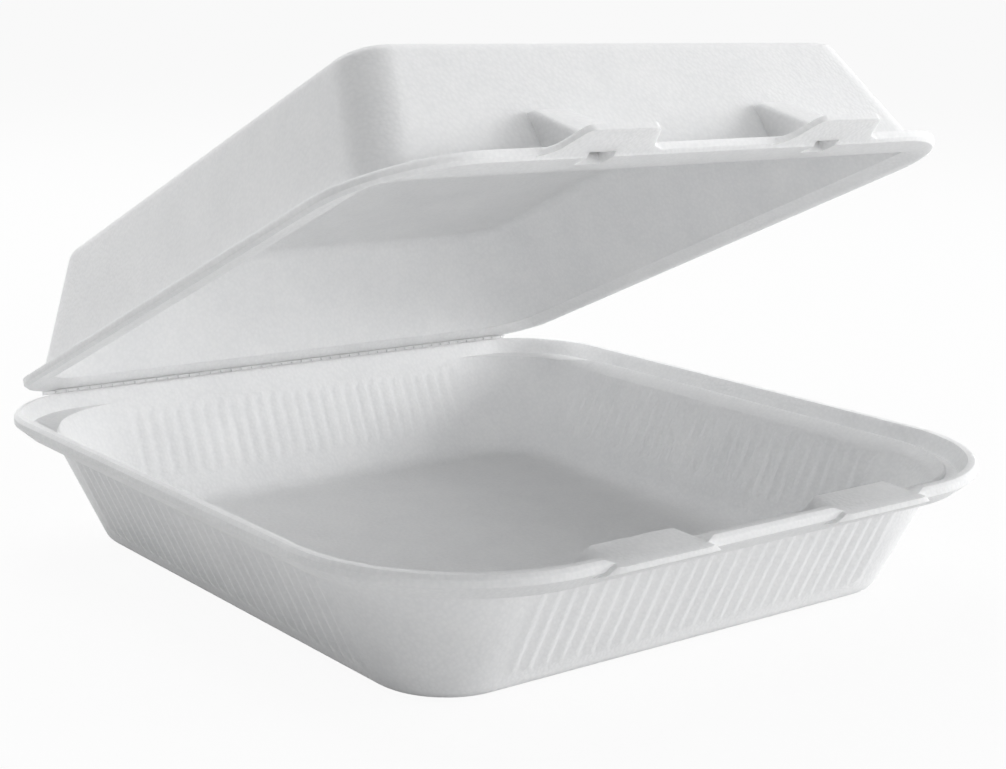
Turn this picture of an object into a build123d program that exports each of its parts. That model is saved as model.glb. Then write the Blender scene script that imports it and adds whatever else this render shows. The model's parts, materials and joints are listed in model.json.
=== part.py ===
"""Hinged clamshell food container, thermoformed from white foam sheet.

A square tray with fluted walls carries a plain lid on a living hinge along the rear rim.
Millimetres. X runs along the hinge, the lock tabs are at -Y, +Z is up, and the origin is the
centre of the tray's foot. The lid is modelled closed and then swung open to its resting angle.
"""
import os
from math import atan2, degrees, hypot

from build123d import *

# Sheet
SHEET = 3.0                 # thickness of the formed foam sheet

# Tray: foot and walls
FOOT_WIDTH = 178.0
FOOT_DEPTH = 186.5
FOOT_CORNER = 21.0          # plan radius of the foot's corners
FOOT_ROUND = 5.0            # rounding where the walls turn under the foot
FLOOR_ROUND = 9.0           # rounding where the walls meet the floor inside
RIM_HEIGHT = 42.3           # hinge plane above the foot
TRAY_LEAN = 16.8            # how far the walls lean out between the foot and the rim

# Tray: rim
SIDE_OVERHANG = 27.0        # from the foot out to the lip, level
FRONT_OVERHANG = 30.7
HINGE_OVERHANG = 18.8       # from the foot back to the hinge crease
RIM_FRONT_CORNER = 51.5
RIM_REAR_CORNER = 33.0
LIP_WIDTH = 3.0
LIP_HEIGHT = 2.9            # height of the outer face of a lip
LIP_CHAMFER = 1.0
LIP_UNDERCUT = 5.0          # run of the slope under the tray's lip, back towards the wall
CREST_DROP = 3.7            # crest of the inner bead below the lip
CREST_WIDTH = 2.0
CREST_CHAMFER = 0.6
CREST_FLARE = 2.7           # the inner wall opens out this far just under the crest
FLARE_DEPTH = 3.0
GUTTER_DEPTH = 1.4          # gutter floor below the crest
GUTTER_SHEET = 2.1          # the sheet is pressed thinner under the gutter

# Tray: flutes, low ridges outside that are grooves inside
FLUTE_PITCH = 5.2
FLUTE_FOOT = 4.4            # width where a flute leaves the wall
FLUTE_CROWN = 1.5           # width of its flat crown
FLUTE_RISE = 0.7
FLUTE_RUN_OUT = 3.0         # length of the slope at each end
FLUTE_MARGIN = 1.0          # inner flutes stop this far below the flare

# Lid
LID_HEIGHT = 40.0           # hinge plane to the top of the closed lid
LID_SIDE_INSET = 9.5        # edge of the lid's rim inside the tray's lip
LID_FRONT_INSET = 7.5
LID_RIM_FRONT_CORNER = 32.0
LID_RIM_REAR_CORNER = 18.0
LID_SIDE_LEDGE = 5.0        # width of the flat rim around the lid's walls
LID_FRONT_LEDGE = 11.0
LID_REAR_LEDGE = 0.4
LID_LEAN = 13.5             # how far the walls lean in between the rim and the top
LID_FRONT_CORNER = 13.0     # rounding of the rising corners
LID_REAR_CORNER = 20.0
LID_TOP_ROUND = 5.0
LID_MOUTH_CHAMFER = 2.4     # slope inside the lid's lip
RIM_GAP = 0.3               # clearance between the two rims when closed, and at the crease
OPEN_ANGLE = 24.0           # resting angle of the lid

# Lock tongues on the lid, each with a hollow buttress
TAB_OFFSET = 40.5           # centre of each tab from the middle of the front
TONGUE_ROOT = 31.0
TONGUE_TIP = 23.0
TONGUE_FLARE = 5.0          # the root spreads this far along the rim on each side
TONGUE_REACH = 11.3         # in front of the lid's rim
TONGUE_SHEET = 1.7
TONGUE_PITCH = 12.5         # degrees that the tongue tips up
TONGUE_ROUND = 3.2
BUTTRESS_FOOT = 14.5        # width at the rim
BUTTRESS_CROWN = 12.5       # width at its top
BUTTRESS_RISE = 17.2        # up the lid's front wall from the rim
BUTTRESS_LEDGE = 2.8        # depth of its flat top, in front of the wall
BUTTRESS_REACH = 3.0        # its foot in front of the lid's rim
BUTTRESS_SHEET = 2.4
BUTTRESS_ROUND = 1.5
BUTTRESS_CAVITY = 7.0       # length of the hollow under it

# Lock pads on the tray
PAD_ROOT = 46.0
PAD_TIP = 28.0
PAD_DEPTH = 11.5            # from the lip's face back across the gutter
PAD_REACH = 2.6             # in front of the tray's lip
PAD_FALL = 1.5              # drop of its front edge
PAD_EDGE = 1.6              # height of its front edge

RIM_HALF = FOOT_WIDTH / 2 + SIDE_OVERHANG
RIM_FRONT = FOOT_DEPTH / 2 + FRONT_OVERHANG
HINGE_REACH = FOOT_DEPTH / 2 + HINGE_OVERHANG
LIP_TOP = RIM_HEIGHT - RIM_GAP / 2
LID_FLOOR = RIM_HEIGHT + RIM_GAP / 2
CREST_Z = LIP_TOP - CREST_DROP
GUTTER_Z = CREST_Z - GUTTER_DEPTH
GUTTER_UNDER = GUTTER_Z - GUTTER_SHEET
CREASE_Y = HINGE_REACH - RIM_GAP / 2
LID_TOP_Z = RIM_HEIGHT + LID_HEIGHT
LID_RIM_FRONT = RIM_FRONT - LID_FRONT_INSET


def outline(half_width, front, rear, front_corner, rear_corner):
    """Plan outline: a rectangle with its own radius at the front and rear corners."""
    plan = Pos(0, (rear - front) / 2) * Rectangle(2 * half_width, front + rear)
    plan = fillet(plan.vertices().group_by(Axis.Y)[0], front_corner)
    return fillet(plan.vertices().group_by(Axis.Y)[-1], rear_corner)


def inset(values, amount):
    """Outline values moved in by an amount all round."""
    return [value - amount for value in values]


def leaning(values, start_z, end_z, spread=0):
    """A solid from an outline at one height to another height, where it has spread by an amount."""
    lean = degrees(atan2(spread, abs(end_z - start_z)))
    return Pos(0, 0, start_z) * extrude(outline(*values), end_z - start_z, taper=-lean)


def drafted(half_width, front, rear, start_z, end_z, spread, front_corner, rear_corner):
    """A leaning box whose rising corners keep one radius from bottom to top."""
    plan = Pos(0, (rear - front) / 2) * Rectangle(2 * half_width, front + rear)
    lean = degrees(atan2(spread, end_z - start_z))
    box = Pos(0, 0, start_z) * extrude(plan, end_z - start_z, taper=-lean)
    box = fillet(rising_edges(box)[:2], front_corner)
    return fillet(rising_edges(box)[-2:], rear_corner)


def rising_edges(solid):
    """Edges that climb from the bottom to the top, from the front to the rear."""
    return solid.edges().filter_by(lambda edge: abs(edge.tangent_at(0.5).Z) > 0.5).sort_by(Axis.Y)


def rounded_top(solid, radius):
    """The solid with its highest edges rounded."""
    return fillet(solid.edges().group_by(Axis.Z)[-1], radius)


def rounded_bottom(solid, radius):
    """The solid with its lowest edges rounded."""
    return fillet(solid.edges().group_by(Axis.Z)[0], radius)


def side_prism(points, width):
    """A prism across X from a profile given as distances in front of the centre and heights."""
    profile = Polygon(*[(-ahead, height) for ahead, height in points], align=None)
    return extrude(Plane.YZ * profile, width / 2, both=True)


def front_prism(low_width, low_z, high_width, high_z):
    """A prism along Y with a symmetric trapezoid for its section."""
    profile = Polygon(
        (-low_width / 2, low_z),
        (low_width / 2, low_z),
        (high_width / 2, high_z),
        (-high_width / 2, high_z),
        align=None,
    )
    return extrude(Plane.XZ * profile, 2 * RIM_FRONT)


FOOT = [FOOT_WIDTH / 2, FOOT_DEPTH / 2, FOOT_DEPTH / 2, FOOT_CORNER, FOOT_CORNER]
TRAY_LIP = [RIM_HALF, RIM_FRONT, CREASE_Y, RIM_FRONT_CORNER, RIM_REAR_CORNER]
TRAY_SLOPE = TRAY_LEAN / GUTTER_UNDER


def tray_wall(height):
    """Outline of the tray's outer wall at a height."""
    return inset(FOOT, -TRAY_SLOPE * height)


def tray_inner(height):
    """Outline of the tray's inner wall at a height."""
    return inset(tray_wall(height), SHEET)


def flute(length):
    """One flute standing on its lower end: a flat-crowned ridge towards +Y with sloping ends."""
    section = Polygon(
        (-FLUTE_FOOT / 2, -FLUTE_RISE),
        (FLUTE_FOOT / 2, -FLUTE_RISE),
        (FLUTE_FOOT / 2, 0),
        (FLUTE_CROWN / 2, FLUTE_RISE),
        (-FLUTE_CROWN / 2, FLUTE_RISE),
        (-FLUTE_FOOT / 2, 0),
        align=None,
    )
    side = Polygon(
        (-FLUTE_RISE, 0),
        (0, 0),
        (FLUTE_RISE, FLUTE_RUN_OUT),
        (FLUTE_RISE, length - FLUTE_RUN_OUT),
        (0, length),
        (-FLUTE_RISE, length),
        align=None,
    )
    return extrude(section, length) & extrude(Plane.YZ * side, FLUTE_FOOT, both=True)


def flute_row(span, reach, low_z, high_z):
    """Flutes side by side on one leaning wall that faces +Y. Reach is the wall's distance at the foot."""
    one = flute((high_z - low_z) * hypot(1, TRAY_SLOPE))
    lean = Rot(-degrees(atan2(TRAY_LEAN, GUTTER_UNDER)), 0, 0)
    count = int(span / FLUTE_PITCH)
    first = -(count - 1) * FLUTE_PITCH / 2
    place = Pos(0, reach + TRAY_SLOPE * low_z, low_z) * lean
    return [Pos(first + i * FLUTE_PITCH, 0, 0) * place * one for i in range(count)]


def flutes(low_z, high_z, depth):
    """Flutes on the straight stretch of all four walls, on a surface some depth inside the outer one."""
    across = flute_row(FOOT_WIDTH - 2 * FOOT_CORNER, FOOT_DEPTH / 2 - depth, low_z, high_z)
    along = flute_row(FOOT_DEPTH - 2 * FOOT_CORNER, FOOT_WIDTH / 2 - depth, low_z, high_z)
    ends = [Rot(0, 0, turn) * bar for turn in (0, 180) for bar in across]
    return ends + [Rot(0, 0, turn) * bar for turn in (90, -90) for bar in along]


def tray_envelope():
    """Outside of the tray: fluted leaning walls up to the lip's band, and the flange under the gutter."""
    band_low = LIP_TOP - LIP_HEIGHT
    walls = rounded_bottom(leaning(FOOT, 0, band_low, TRAY_SLOPE * band_low), FOOT_ROUND)
    walls = walls & leaning(TRAY_LIP, 0, band_low)
    flange = leaning(TRAY_LIP, band_low, GUTTER_UNDER, -LIP_UNDERCUT)
    band = chamfer(leaning(TRAY_LIP, band_low, LIP_TOP).edges().group_by(Axis.Z)[-1], LIP_CHAMFER)
    return walls + flutes(FOOT_ROUND, GUTTER_UNDER - FLUTE_RISE, 0) + flange + band


def tray_hollow():
    """The smooth space inside the tray's walls, up to the crest."""
    hollow = leaning(tray_inner(CREST_Z), CREST_Z, SHEET, TRAY_SLOPE * (SHEET - CREST_Z))
    return rounded_bottom(hollow, FLOOR_ROUND)


def tray_mouth():
    """The open gutter and everything above it. At the rear it carries on the wall's slope."""
    upper = inset(TRAY_LIP, LIP_WIDTH)
    upper[2] = tray_inner(LIP_TOP)[2]
    return leaning(upper, LIP_TOP, GUTTER_Z, -TRAY_SLOPE * (LIP_TOP - GUTTER_Z))


def crest_flare():
    """The inner wall's wider mouth under the crest, round the sides and front."""
    upper = inset(tray_inner(CREST_Z), -CREST_FLARE)
    upper[2] -= CREST_FLARE
    return leaning(upper, CREST_Z, CREST_Z - FLARE_DEPTH, -CREST_FLARE - TRAY_SLOPE * FLARE_DEPTH)


def crest_bead():
    """The raised bead inside the gutter. It runs round the sides and front and dies out at the rear."""
    outer = inset(tray_inner(GUTTER_Z), -CREST_FLARE - CREST_WIDTH)
    outer[2] -= 2 * (CREST_FLARE + CREST_WIDTH)
    bead = leaning(outer, GUTTER_UNDER, CREST_Z)
    return chamfer(bead.edges().group_by(Axis.Z)[-1], CREST_CHAMFER)


PAD_BACK = RIM_FRONT - PAD_DEPTH
PAD_FRONT = RIM_FRONT + PAD_REACH
PAD_FRONT_Z = LIP_TOP - PAD_FALL
PAD_LOW_Z = GUTTER_Z - GUTTER_SHEET / 2


def lock_pad():
    """One lock pad of the tray: a ramp over the gutter whose front edge falls past the lip."""
    ramp = side_prism(
        [
            (PAD_BACK, PAD_LOW_Z),
            (PAD_BACK, LIP_TOP),
            (PAD_FRONT, PAD_FRONT_Z),
            (PAD_FRONT, PAD_FRONT_Z - PAD_EDGE),
            (RIM_FRONT - LIP_WIDTH, GUTTER_Z),
        ],
        PAD_ROOT,
    )
    plan = Polygon(
        (-PAD_ROOT / 2, -PAD_BACK),
        (-PAD_ROOT / 2, -RIM_FRONT),
        (-PAD_TIP / 2, -PAD_FRONT),
        (PAD_TIP / 2, -PAD_FRONT),
        (PAD_ROOT / 2, -RIM_FRONT),
        (PAD_ROOT / 2, -PAD_BACK),
        align=None,
    )
    return ramp & extrude(plan, LIP_TOP) & front_prism(PAD_ROOT, PAD_LOW_Z, PAD_TIP, LIP_TOP)


def pad_clearing():
    """The space over a lock pad, where the tray's lip sinks into it."""
    space = side_prism([(PAD_BACK, LIP_TOP), (PAD_FRONT, PAD_FRONT_Z), (PAD_FRONT, LIP_TOP)], PAD_ROOT)
    return space & front_prism(PAD_TIP, PAD_FRONT_Z, (PAD_TIP + PAD_ROOT) / 2, LIP_TOP)


def base_tray():
    """The tray: envelope less its mouth and hollow, with the bead, the flutes and the lock pads."""
    places = [Pos(x, 0, 0) for x in (-TAB_OFFSET, TAB_OFFSET)]
    grooves = flutes(SHEET + FLOOR_ROUND, CREST_Z - FLARE_DEPTH - FLUTE_MARGIN, SHEET)
    tray = tray_envelope() - tray_mouth() + crest_bead() - tray_hollow() - crest_flare() - grooves
    tray = tray - [place * pad_clearing() for place in places]
    return tray + [place * lock_pad() for place in places]


LID_LIP = [RIM_HALF - LID_SIDE_INSET, LID_RIM_FRONT, CREASE_Y, LID_RIM_FRONT_CORNER, LID_RIM_REAR_CORNER]
LID_SLOPE = LID_LEAN / (LID_TOP_Z - LID_FLOOR)


def lid_wall(height, depth=0):
    """Half width, front and rear of the closed lid's wall at a height, some depth inside its outer face."""
    back_off = depth + LID_SLOPE * (height - LID_FLOOR)
    ledges = (LID_SIDE_LEDGE, LID_FRONT_LEDGE, LID_REAR_LEDGE)
    return [edge - ledge - back_off for edge, ledge in zip(LID_LIP, ledges)]


def lid_shape(depth, top_z):
    """The solid inside the lid's walls and top, some depth inside their outer faces."""
    corners = (LID_FRONT_CORNER - depth, LID_REAR_CORNER - depth)
    spread = LID_SLOPE * (LID_FLOOR - top_z)
    shape = drafted(*lid_wall(LID_FLOOR, depth), LID_FLOOR, top_z, spread, *corners)
    return rounded_top(shape, LID_TOP_ROUND)


def lid_envelope():
    """Outside of the closed lid: flat rim, leaning walls and top."""
    rim = leaning(LID_LIP, LID_FLOOR, LID_FLOOR + LIP_HEIGHT)
    return lid_shape(0, LID_TOP_Z) + chamfer(rim.edges().group_by(Axis.Z)[0], LIP_CHAMFER)


def lid_hollow():
    """Inside of the closed lid, from its sloping mouth to the underside of its top."""
    corners = (LID_FRONT_CORNER - SHEET + LID_MOUTH_CHAMFER, LID_REAR_CORNER - SHEET + LID_MOUTH_CHAMFER)
    mouth = [value + LID_MOUTH_CHAMFER for value in lid_wall(LID_FLOOR, SHEET)]
    slope = drafted(*mouth, LID_FLOOR, LID_FLOOR + LIP_HEIGHT, -LIP_HEIGHT, *corners)
    return lid_shape(SHEET, LID_TOP_Z - SHEET) + slope


def buttress_profile(shrink):
    """Side profile of a buttress, or of the space inside it where shrink is its wall's thickness."""
    top = LID_FLOOR + BUTTRESS_RISE - shrink
    wall = lid_wall(top)[1]
    foot = LID_RIM_FRONT + BUTTRESS_REACH - shrink
    rim = LID_FLOOR + LIP_HEIGHT
    return [
        (wall - SHEET / 2 - shrink, top),
        (wall + BUTTRESS_LEDGE - shrink, top),
        (foot, rim + TONGUE_SHEET - shrink),
        (foot, rim - SHEET / 2 - 2 * shrink),
        (lid_wall(rim)[1] - SHEET / 2 - shrink, rim + SHEET / 2 - 2 * shrink),
    ]


def buttress():
    """The ridge that stiffens a tongue, from the lid's front wall down to the tongue."""
    ridge = side_prism(buttress_profile(0), BUTTRESS_FOOT)
    ridge = ridge & front_prism(BUTTRESS_FOOT, LID_FLOOR, BUTTRESS_CROWN, LID_FLOOR + BUTTRESS_RISE)
    return fillet(ridge.edges().sort_by(SortBy.LENGTH)[-2:], BUTTRESS_ROUND)


def buttress_hollow():
    """The space inside a buttress, open below."""
    walls = 2 * BUTTRESS_SHEET
    front = LID_RIM_FRONT + BUTTRESS_REACH - BUTTRESS_SHEET
    space = side_prism(buttress_profile(BUTTRESS_SHEET), BUTTRESS_FOOT - walls)
    length = side_prism(
        [(front - BUTTRESS_CAVITY, 0), (front, 0), (front, LID_TOP_Z), (front - BUTTRESS_CAVITY, LID_TOP_Z)],
        BUTTRESS_FOOT,
    )
    return space & length & front_prism(BUTTRESS_FOOT - walls, 0, BUTTRESS_CROWN - walls, LID_TOP_Z)


def tongue():
    """One lock tongue of the lid, tipped up. Its root spreads along the rim in a curve."""
    back = LIP_WIDTH
    spread = TONGUE_ROOT / 2 + TONGUE_FLARE
    bend = -back - TONGUE_FLARE / 2
    tip = -back - TONGUE_REACH
    right = [(TONGUE_TIP / 2, tip), (TONGUE_ROOT / 2, bend), (spread, -back), (spread, 0)]
    left = [(-x, y) for x, y in reversed(right)]
    plan = Polygon(*left, *right, align=None)
    plan = fillet(plan.vertices().group_by(Axis.Y)[0], TONGUE_ROUND)
    plan = fillet([v for v in plan.vertices() if abs(v.Y - bend) < RIM_GAP], TONGUE_FLARE)
    place = Pos(0, back - LID_RIM_FRONT, LID_FLOOR) * Rot(-TONGUE_PITCH, 0, 0)
    return place * extrude(plan, TONGUE_SHEET)


def closed_lid():
    """The lid as it lies on the closed tray."""
    places = [Pos(x, 0, 0) for x in (-TAB_OFFSET, TAB_OFFSET)]
    lid = lid_envelope() - lid_hollow()
    lid = lid + [place * piece for place in places for piece in (tongue(), buttress())]
    return lid - [place * buttress_hollow() for place in places]


def swung_open(lid):
    """The lid turned about the hinge crease to its resting angle."""
    crease = Pos(0, HINGE_REACH, RIM_HEIGHT)
    return crease * Rot(-OPEN_ANGLE, 0, 0) * crease.inverse() * lid


def main():
    """Write one STEP file per moulded half."""
    os.makedirs("parts", exist_ok=True)
    export_step(base_tray(), "parts/base_tray.step")
    export_step(swung_open(closed_lid()), "parts/lid.step")


main()
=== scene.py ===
"""Studio scene of a white foam clamshell container with its lid part open."""
import json
import math

import bpy
from mathutils import Matrix, Vector

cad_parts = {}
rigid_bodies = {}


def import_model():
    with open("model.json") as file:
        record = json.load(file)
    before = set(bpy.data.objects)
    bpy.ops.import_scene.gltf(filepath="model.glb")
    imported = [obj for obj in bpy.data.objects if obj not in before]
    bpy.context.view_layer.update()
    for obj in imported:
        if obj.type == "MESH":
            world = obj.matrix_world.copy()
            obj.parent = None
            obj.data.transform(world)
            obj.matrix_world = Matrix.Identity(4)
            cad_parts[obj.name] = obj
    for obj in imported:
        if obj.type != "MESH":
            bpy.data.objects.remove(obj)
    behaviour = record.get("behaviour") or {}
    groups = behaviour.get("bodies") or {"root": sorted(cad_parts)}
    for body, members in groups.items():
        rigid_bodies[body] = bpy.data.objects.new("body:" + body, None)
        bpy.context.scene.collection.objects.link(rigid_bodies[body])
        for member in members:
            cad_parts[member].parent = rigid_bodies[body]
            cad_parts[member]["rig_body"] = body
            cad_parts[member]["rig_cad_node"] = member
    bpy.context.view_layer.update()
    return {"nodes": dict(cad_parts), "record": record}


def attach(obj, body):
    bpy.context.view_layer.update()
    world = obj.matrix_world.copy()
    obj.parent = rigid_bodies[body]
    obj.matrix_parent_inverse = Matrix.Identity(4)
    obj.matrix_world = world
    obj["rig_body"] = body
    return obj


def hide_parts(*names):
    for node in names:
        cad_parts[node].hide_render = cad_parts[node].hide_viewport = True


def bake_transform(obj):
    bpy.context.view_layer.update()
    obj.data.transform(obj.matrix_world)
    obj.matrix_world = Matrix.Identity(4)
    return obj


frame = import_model()

# Middle of the hinge line, and how far the lid stands open at rest
hinge = frame["record"]["behaviour"]["joints"][0]
HINGE_MIDDLE = Vector(hinge["pos_m"])
OPEN_ANGLE = math.radians(-hinge["range_deg"][0])

# Hinge crease, in metres
CREASE_LENGTH = 0.190
CREASE_CELLS = 93               # dashes and the spaces between them
CREASE_ROWS = 5
CREASE_FRONT = 0.0014           # inner face of the web in front of the hinge line
CREASE_HEIGHT = 0.0014
CREASE_SHEET = 0.0009
DASH_HEIGHT = 0.0009
DASH_RISE = 0.0006
DASH_MARGIN = 0.00015           # from a dash's foot in to its flat top

# Moulded edges, in metres
WELD_DISTANCE = 0.00001
FLAT_ANGLE = math.radians(1)    # facets closer than this are one face
EDGE_ROLL = 0.0004              # widest rounding of an edge
ROLL_STEPS = 3
ROLL_ANGLE = math.radians(50)   # edges sharper than this are rolled over
SMOOTH_ANGLE = math.radians(24)

# Foam
FOAM_ROUGHNESS = 0.62
FOAM_SPECULAR = 0.25
FOAM_SCATTER = 0.0025           # how far light spreads inside the sheet, in metres
BEAD_SCALE = 820.0              # beads in a metre
BEAD_DEPTH = 0.00025
BEAD_BUMP = 0.35
BEAD_SPAN = (0.15, 0.75)        # from a bead's middle out to its edge
BEAD_EDGE = (0.96, 0.962, 0.964, 1)
CLOUD_SCALE = 55.0
CLOUD_DETAIL = 6.0
CLOUD_ROUGHNESS = 0.62
CLOUD_SPAN = (0.32, 0.70)       # from the dark clouds to the pale ones
FOAM_DARK = (0.900, 0.902, 0.905, 1)
FOAM_PALE = (0.940, 0.941, 0.942, 1)

# Studio
FLOOR_SIZE = 60
FLOOR_DROP = 0.0002             # the floor lies this far under the foot
FLOOR_COLOUR = (0.86, 0.86, 0.86, 1)
FLOOR_WHITE = 0.93              # share of plain white that the camera sees in the floor
SKY_COLOUR = (0.98, 0.99, 1.0, 1)
SKY_STRENGTH = 0.27

# Camera, fitted to the photograph; the focus and the offset are in its pixels
PHOTO_WIDTH = 1006
SENSOR_WIDTH = 36
CAMERA_PLACE = Vector((-0.3426, -0.43905, 0.1772))
CAMERA_AZIMUTH = math.radians(-38.36)
CAMERA_ELEVATION = math.radians(12.37)
CAMERA_ROLL = math.radians(1.39)
CAMERA_FOCUS = 1853.8
CAMERA_OFFSET = (-5.3, 0.7)
NEAR_CLIP = 0.01


def only(piece):
    """Select one object alone and make it active."""
    bpy.ops.object.select_all(action="DESELECT")
    piece.select_set(True)
    bpy.context.view_layer.objects.active = piece


def new_material(name):
    """An empty node material and its output node."""
    material = bpy.data.materials.new(name)
    material.use_nodes = True
    nodes = material.node_tree.nodes
    nodes.clear()
    return material, nodes, material.node_tree.links, nodes.new("ShaderNodeOutputMaterial")


def foam_material():
    """Matte white foam: fine beads under the skin, a cloudy tone, and some light through the sheet."""
    material, nodes, links, output = new_material("white_foam")
    shader = nodes.new("ShaderNodeBsdfPrincipled")
    place = nodes.new("ShaderNodeTexCoord")
    shader.inputs["Roughness"].default_value = FOAM_ROUGHNESS
    shader.inputs["Specular IOR Level"].default_value = FOAM_SPECULAR
    shader.inputs["Subsurface Weight"].default_value = 1.0
    shader.inputs["Subsurface Radius"].default_value = (1, 1, 1)
    shader.inputs["Subsurface Scale"].default_value = FOAM_SCATTER

    beads = nodes.new("ShaderNodeTexVoronoi")
    beads.inputs["Scale"].default_value = BEAD_SCALE
    beads.inputs["Randomness"].default_value = 1.0
    links.new(place.outputs["Object"], beads.inputs["Vector"])
    clouds = nodes.new("ShaderNodeTexNoise")
    clouds.inputs["Scale"].default_value = CLOUD_SCALE
    clouds.inputs["Detail"].default_value = CLOUD_DETAIL
    clouds.inputs["Roughness"].default_value = CLOUD_ROUGHNESS
    links.new(place.outputs["Object"], clouds.inputs["Vector"])

    tone = nodes.new("ShaderNodeValToRGB")
    tone.color_ramp.elements[0].position = CLOUD_SPAN[0]
    tone.color_ramp.elements[0].color = FOAM_DARK
    tone.color_ramp.elements[1].position = CLOUD_SPAN[1]
    tone.color_ramp.elements[1].color = FOAM_PALE
    links.new(clouds.outputs["Fac"], tone.inputs["Fac"])
    speckle = nodes.new("ShaderNodeValToRGB")
    speckle.color_ramp.elements[0].position = BEAD_SPAN[0]
    speckle.color_ramp.elements[0].color = (1, 1, 1, 1)
    speckle.color_ramp.elements[1].position = BEAD_SPAN[1]
    speckle.color_ramp.elements[1].color = BEAD_EDGE
    links.new(beads.outputs["Distance"], speckle.inputs["Fac"])
    mix = nodes.new("ShaderNodeMix")
    mix.data_type = "RGBA"
    mix.blend_type = "MULTIPLY"
    mix.inputs["Factor"].default_value = 1.0
    links.new(tone.outputs["Color"], mix.inputs["A"])
    links.new(speckle.outputs["Color"], mix.inputs["B"])
    links.new(mix.outputs["Result"], shader.inputs["Base Color"])

    bump = nodes.new("ShaderNodeBump")
    bump.invert = True
    bump.inputs["Strength"].default_value = BEAD_BUMP
    bump.inputs["Distance"].default_value = BEAD_DEPTH
    links.new(beads.outputs["Distance"], bump.inputs["Height"])
    links.new(bump.outputs["Normal"], shader.inputs["Normal"])
    links.new(shader.outputs["BSDF"], output.inputs["Surface"])
    return material


def moulded_shell(node, name, body):
    """A moulded half with its edges rolled over, as sheet comes off a tool."""
    only(frame["nodes"][node])
    bpy.ops.object.duplicate()
    shell = bpy.context.active_object
    shell.name = name
    shell.data.name = name
    bpy.ops.object.parent_clear(type="CLEAR_KEEP_TRANSFORM")
    # The copy is a piece of its own, so it drops the marks of the node it came from.
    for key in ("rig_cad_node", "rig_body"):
        del shell[key]
    bpy.ops.object.mode_set(mode="EDIT")
    bpy.ops.mesh.select_all(action="SELECT")
    bpy.ops.mesh.remove_doubles(threshold=WELD_DISTANCE)
    bpy.ops.mesh.dissolve_limited(angle_limit=FLAT_ANGLE)
    bpy.ops.object.mode_set(mode="OBJECT")
    rolled = shell.modifiers.new("rolled_edges", "BEVEL")
    rolled.width = EDGE_ROLL
    rolled.segments = ROLL_STEPS
    rolled.limit_method = "ANGLE"
    rolled.angle_limit = ROLL_ANGLE
    rolled.use_clamp_overlap = True
    bpy.ops.object.modifier_apply(modifier="rolled_edges")
    bpy.ops.object.shade_smooth_by_angle(angle=SMOOTH_ANGLE)
    even = shell.modifiers.new("even_rounds", "WEIGHTED_NORMAL")
    even.keep_sharp = True
    bpy.ops.object.modifier_apply(modifier="even_rounds")
    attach(shell, body)
    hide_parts(node)
    return shell


def hinge_crease():
    """The web of the living hinge, with a row of short raised dashes on its inner face."""
    tilt = OPEN_ANGLE / 2
    aim = Vector((0, -math.cos(tilt), math.sin(tilt)))
    bpy.ops.object.select_all(action="DESELECT")
    bpy.ops.mesh.primitive_grid_add(
        x_subdivisions=CREASE_CELLS,
        y_subdivisions=CREASE_ROWS,
        size=1,
        location=HINGE_MIDDLE + CREASE_FRONT * aim,
        rotation=(math.pi / 2 - tilt, 0, 0),
    )
    web = bpy.context.active_object
    web.name = "hinge_crease"
    web.data.name = "hinge_crease"
    web.scale = (CREASE_LENGTH, CREASE_HEIGHT, 1)
    bpy.ops.object.transform_apply(location=False, rotation=False, scale=True)
    web.modifiers.new("sheet", "SOLIDIFY").thickness = CREASE_SHEET
    bpy.ops.object.modifier_apply(modifier="sheet")
    bpy.ops.object.mode_set(mode="EDIT")
    bpy.ops.mesh.select_mode(type="FACE")
    bpy.ops.mesh.select_all(action="DESELECT")
    bpy.ops.object.mode_set(mode="OBJECT")
    for face in web.data.polygons:
        cell = round(face.center.x / CREASE_LENGTH * CREASE_CELLS)
        in_dash = cell % 2 == 0 and abs(face.center.y) < DASH_HEIGHT / 2
        on_inner_face = face.normal.z > 0.5
        face.select = in_dash and on_inner_face
    bpy.ops.object.mode_set(mode="EDIT")
    bpy.ops.mesh.extrude_region_shrink_fatten(TRANSFORM_OT_shrink_fatten={"value": DASH_RISE})
    bpy.ops.mesh.inset(thickness=DASH_MARGIN)
    bpy.ops.object.mode_set(mode="OBJECT")
    bpy.ops.object.transform_apply(location=True, rotation=True, scale=True)
    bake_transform(web)
    return web


def photo_camera():
    """The camera at the photograph's viewing angle."""
    sweep = math.cos(CAMERA_ELEVATION)
    back = Vector((
        math.sin(CAMERA_AZIMUTH) * sweep,
        -math.cos(CAMERA_AZIMUTH) * sweep,
        math.sin(CAMERA_ELEVATION),
    ))
    right = Vector((0, 0, 1)).cross(back).normalized()
    up = back.cross(right)
    level = Matrix((right, up, back)).transposed()
    data = bpy.data.cameras.new("photo_camera")
    data.sensor_fit = "HORIZONTAL"
    data.sensor_width = SENSOR_WIDTH
    data.lens = CAMERA_FOCUS * SENSOR_WIDTH / PHOTO_WIDTH
    data.shift_x = -CAMERA_OFFSET[0] / PHOTO_WIDTH
    data.shift_y = CAMERA_OFFSET[1] / PHOTO_WIDTH
    data.clip_start = NEAR_CLIP
    camera = bpy.data.objects.new("photo_camera", data)
    turned = level @ Matrix.Rotation(CAMERA_ROLL, 3, "Z")
    camera.matrix_world = Matrix.Translation(CAMERA_PLACE) @ turned.to_4x4()
    bpy.context.scene.collection.objects.link(camera)
    bpy.context.scene.camera = camera


def background_rays(nodes, links):
    """One for the rays that see the white background, nought for those that light the object."""
    path = nodes.new("ShaderNodeLightPath")
    seen = path.outputs["Is Camera Ray"]
    for kind in ("Is Glossy Ray", "Is Transmission Ray"):
        either = nodes.new("ShaderNodeMath")
        either.operation = "MAXIMUM"
        links.new(seen, either.inputs[0])
        links.new(path.outputs[kind], either.inputs[1])
        seen = either.outputs["Value"]
    return seen


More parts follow.
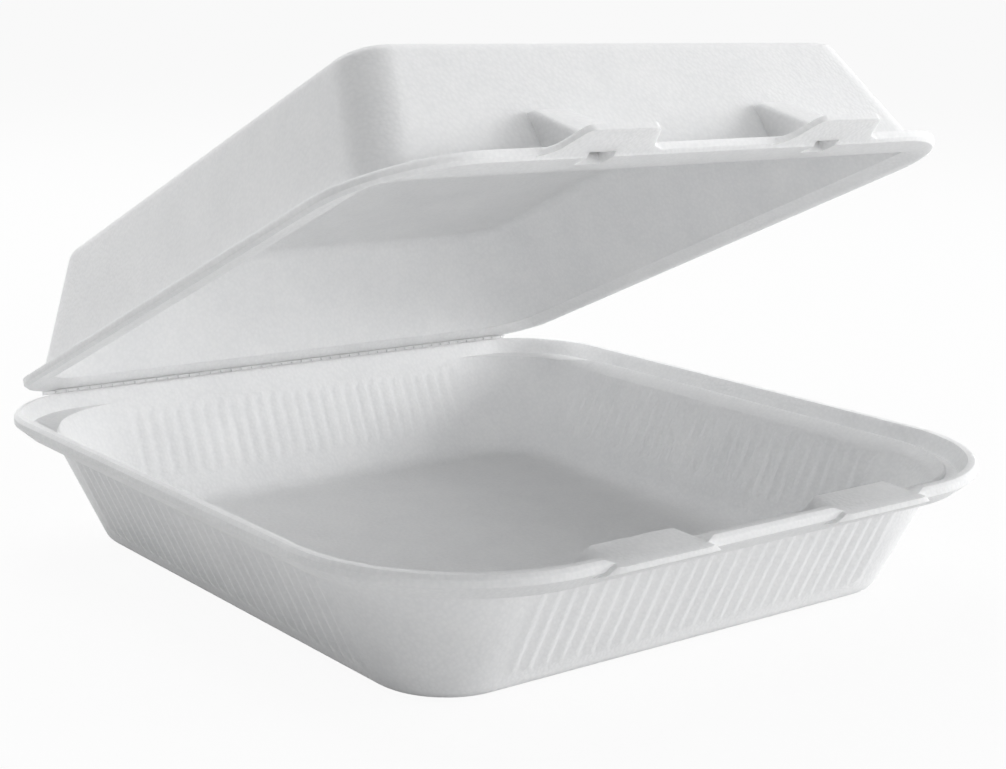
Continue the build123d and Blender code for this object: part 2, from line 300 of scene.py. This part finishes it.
def floor_material():
    """Pale floor: nearly white to the camera, a plain pale surface to the light."""
    material, nodes, links, output = new_material("studio_floor")
    plain = nodes.new("ShaderNodeBsdfDiffuse")
    plain.inputs["Color"].default_value = FLOOR_COLOUR
    white = nodes.new("ShaderNodeEmission")
    white.inputs["Strength"].default_value = 1.0
    share = nodes.new("ShaderNodeMath")
    share.operation = "MULTIPLY"
    share.inputs[1].default_value = FLOOR_WHITE
    links.new(background_rays(nodes, links), share.inputs[0])
    mix = nodes.new("ShaderNodeMixShader")
    links.new(share.outputs["Value"], mix.inputs["Fac"])
    links.new(plain.outputs["BSDF"], mix.inputs[1])
    links.new(white.outputs["Emission"], mix.inputs[2])
    links.new(mix.outputs["Shader"], output.inputs["Surface"])
    return material


def studio_floor():
    """A wide floor under the container."""
    bpy.ops.object.select_all(action="DESELECT")
    bpy.ops.mesh.primitive_plane_add(size=FLOOR_SIZE, location=(0, 0, -FLOOR_DROP))
    floor = bpy.context.active_object
    floor.name = "studio_floor"
    floor.data.materials.append(floor_material())


def studio_world():
    """Soft light from all round, white to the camera."""
    world = bpy.data.worlds.new("studio")
    bpy.context.scene.world = world
    world.use_nodes = True
    nodes = world.node_tree.nodes
    links = world.node_tree.links
    nodes.clear()
    output = nodes.new("ShaderNodeOutputWorld")
    soft = nodes.new("ShaderNodeBackground")
    soft.inputs["Color"].default_value = SKY_COLOUR
    soft.inputs["Strength"].default_value = SKY_STRENGTH
    white = nodes.new("ShaderNodeBackground")
    white.inputs["Color"].default_value = (1, 1, 1, 1)
    mix = nodes.new("ShaderNodeMixShader")
    links.new(background_rays(nodes, links), mix.inputs["Fac"])
    links.new(soft.outputs["Background"], mix.inputs[1])
    links.new(white.outputs["Background"], mix.inputs[2])
    links.new(mix.outputs["Shader"], output.inputs["Surface"])


def soft_box(name, place, target, width, height, watts):
    """A rectangular soft lamp aimed at a point."""
    data = bpy.data.lights.new(name, "AREA")
    data.shape = "RECTANGLE"
    data.size = width
    data.size_y = height
    data.energy = watts
    lamp = bpy.data.objects.new(name, data)
    lamp.location = place
    aim = Vector(target) - Vector(place)
    lamp.rotation_euler = aim.to_track_quat("-Z", "Y").to_euler()
    bpy.context.scene.collection.objects.link(lamp)


def studio_lamps():
    """A low key from the right, a weak fill into the mouth, a top lamp, and a rake along the left wall."""
    middle = (0, 0, 0.06)
    left_wall = (-0.1, 0, 0.05)
    soft_box("key", (1.4, -0.7, 0.4), middle, width=1.2, height=0.6, watts=16)
    soft_box("fill", (0.3, -1.6, 0.3), middle, width=1.6, height=0.5, watts=6)
    soft_box("top", (0.2, 0.8, 1.5), middle, width=1.2, height=1.2, watts=15)
    soft_box("rake", (-0.55, 1.5, 0.3), left_wall, width=0.3, height=0.3, watts=5.5)


foam = foam_material()
tray = moulded_shell("base_tray", "tray_shell", "tray")
lid = moulded_shell("lid", "lid_shell", "lid")
crease = hinge_crease()
for piece in (tray, lid, crease):
    piece.data.materials.clear()
    piece.data.materials.append(foam)

photo_camera()
studio_floor()
studio_world()
studio_lamps()
bpy.context.scene.view_settings.view_transform = "Standard"
